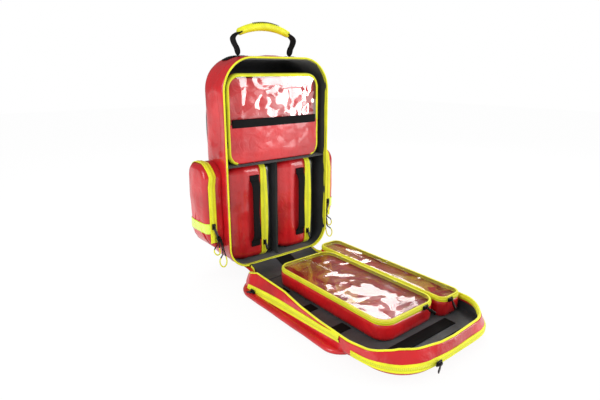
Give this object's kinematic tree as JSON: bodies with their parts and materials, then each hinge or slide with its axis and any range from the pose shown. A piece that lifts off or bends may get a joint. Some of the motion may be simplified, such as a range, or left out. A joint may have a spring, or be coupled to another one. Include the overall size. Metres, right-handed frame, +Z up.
{
  "type": "trauma backpack",
  "caption": "Standing open rucksack for emergency kit: zipped modules inside, two clear-topped pouches on the folded-down front panel, side pockets and carry handle.",
  "frame": {"origin": "middle of the resting face of the lower flat pocket under the folded-down front panel, on the floor", "axes": "+Z up, +X to the right as seen from in front of the opening, -Y the way the opening faces and the panel lies"},
  "size_m": [0.4102, 0.7424, 0.6185],
  "materials": {
    "red_tarpaulin": "coated tarpaulin, glossy",
    "yellow_zip_tape": "woven zip tape",
    "dark_lining": "woven nylon",
    "black_webbing": "woven webbing",
    "black_plastic": "moulded",
    "padded_mesh": "spacer mesh over foam",
    "clear_film": "soft clear film",
    "yellow_rubber": "moulded sleeve",
    "reflective_tape": "retroreflective film",
    "grey_puller": "moulded",
    "pull_cord": "braided cord in a soft sleeve"
  },
  "bodies": {
    "main_bag": {"main_shell": "red_tarpaulin", "main_lining": "dark_lining", "main_piping": "yellow_zip_tape", "back_pad": "padded_mesh", "lumbar_pad": "padded_mesh", "shoulder_strap_left": "padded_mesh", "shoulder_strap_right": "padded_mesh", "lower_straps": "black_webbing", "ladder_locks": "black_plastic", "handle_anchors": "black_webbing", "shelf": "dark_lining", "divider": "dark_lining", "hinge_gusset": "black_webbing", "main_zip_sliders": "black_plastic", "side_pocket_left": "red_tarpaulin", "side_pocket_right": "red_tarpaulin", "side_zips": "yellow_zip_tape", "reflective_stripes": "reflective_tape", "upper_module_body": "red_tarpaulin", "upper_module_zip": "yellow_zip_tape"},
    "upper_cover": {"upper_module_window": "clear_film", "upper_module_panel": "red_tarpaulin", "upper_module_strip": "black_webbing"},
    "upper_slider": {"upper_module_slider": "black_plastic"},
    "module_left": {"module_left_body": "red_tarpaulin", "module_left_zip": "yellow_zip_tape", "module_left_cover": "clear_film", "module_left_handle": "black_webbing"},
    "module_left_slider": {"module_left_slider": "black_plastic"},
    "module_right": {"module_right_body": "red_tarpaulin", "module_right_zip": "yellow_zip_tape", "module_right_cover": "clear_film", "module_right_handle": "black_webbing"},
    "module_right_slider": {"module_right_slider": "black_plastic"},
    "carry_handle": {"handle_grip": "yellow_rubber", "handle_webbing": "black_webbing"},
    "front_panel": {"panel_shell": "red_tarpaulin", "panel_lining": "dark_lining", "panel_piping": "yellow_zip_tape", "lower_flat_pocket": "red_tarpaulin", "top_flat_pocket": "red_tarpaulin", "flat_pocket_zips": "yellow_zip_tape", "hook_strips": "black_webbing", "large_pouch_body": "red_tarpaulin", "large_pouch_zip": "yellow_zip_tape", "small_pouch_body": "red_tarpaulin", "small_pouch_zip": "yellow_zip_tape"},
    "large_cover": {"large_pouch_cover": "clear_film"},
    "small_cover": {"small_pouch_cover": "clear_film"},
    "large_slider": {"large_pouch_slider": "black_plastic"},
    "small_slider": {"small_pouch_slider": "black_plastic"},
    "lower_pocket_slider": {"lower_pocket_slider": "black_plastic"},
    "top_pocket_slider": {"top_pocket_slider": "black_plastic"},
    "side_slider_left": {"side_slider_left": "black_plastic"},
    "side_slider_right": {"side_slider_right": "black_plastic"},
    "side_pull_left": {"side_pull_left": "grey_puller", "pull_loops_left": "pull_cord"},
    "side_pull_right": {"side_pull_right": "grey_puller", "pull_loops_right": "pull_cord"}
  },
  "joints": [
    {"name": "panel_fold", "type": "hinge", "parent": "main_bag", "child": "front_panel", "pos_m": [0, 0.192, 0.03], "axis": [-1, 0, 0], "range_deg": [0, 90]},
    {"name": "handle_fold", "type": "hinge", "parent": "main_bag", "child": "carry_handle", "pos_m": [0, 0.28, 0.5573], "axis": [1, 0, 0], "range_deg": [-75, 75]},
    {"name": "upper_cover_open", "type": "hinge", "parent": "main_bag", "child": "upper_cover", "pos_m": [-0.136, 0.2328, 0.4], "axis": [0, 0, 1], "range_deg": [-100, 0]},
    {"name": "upper_zip", "type": "slide", "parent": "main_bag", "child": "upper_slider", "axis": [0, 0, 1], "range_m": [0, 0.1]},
    {"name": "module_left_pull", "type": "slide", "parent": "main_bag", "child": "module_left", "axis": [0, 1, 0], "range_m": [-0.055, 0]},
    {"name": "module_left_zip", "type": "slide", "parent": "module_left", "child": "module_left_slider", "axis": [0, 0, 1], "range_m": [0, 0.15]},
    {"name": "module_right_pull", "type": "slide", "parent": "main_bag", "child": "module_right", "axis": [0, 1, 0], "range_m": [-0.055, 0]},
    {"name": "module_right_zip", "type": "slide", "parent": "module_right", "child": "module_right_slider", "axis": [0, 0, 1], "range_m": [0, 0.15]},
    {"name": "large_cover_open", "type": "hinge", "parent": "front_panel", "child": "large_cover", "pos_m": [0.076, -0.049, 0.06], "axis": [0, -1, 0], "range_deg": [-85, 0]},
    {"name": "small_cover_open", "type": "hinge", "parent": "front_panel", "child": "small_cover", "pos_m": [0.084, -0.034, 0.06], "axis": [0, 1, 0], "range_deg": [-85, 0]},
    {"name": "large_pouch_zip", "type": "slide", "parent": "front_panel", "child": "large_slider", "axis": [-1, 0, 0], "range_m": [0, 0.06]},
    {"name": "small_pouch_zip", "type": "slide", "parent": "front_panel", "child": "small_slider", "axis": [1, 0, 0], "range_m": [0, 0.024]},
    {"name": "lower_pocket_zip", "type": "slide", "parent": "front_panel", "child": "lower_pocket_slider", "axis": [0, -0.9973, 0.0732], "range_m": [0, 0.27]},
    {"name": "top_pocket_zip", "type": "slide", "parent": "front_panel", "child": "top_pocket_slider", "axis": [1, 0, 0], "range_m": [0, 0.12]},
    {"name": "side_zip_left", "type": "slide", "parent": "main_bag", "child": "side_slider_left", "axis": [0, 0, 1], "range_m": [0, 0.095]},
    {"name": "side_zip_right", "type": "slide", "parent": "main_bag", "child": "side_slider_right", "axis": [0, 0, 1], "range_m": [0, 0.095]},
    {"name": "side_pull_left_swing", "type": "hinge", "parent": "side_slider_left", "child": "side_pull_left", "pos_m": [-0.184, 0.2374, 0.143], "axis": [-1, 0, 0], "range_deg": [0, 100]},
    {"name": "side_pull_right_swing", "type": "hinge", "parent": "side_slider_right", "child": "side_pull_right", "pos_m": [0.184, 0.2374, 0.143], "axis": [-1, 0, 0], "range_deg": [0, 100]}
  ]
}
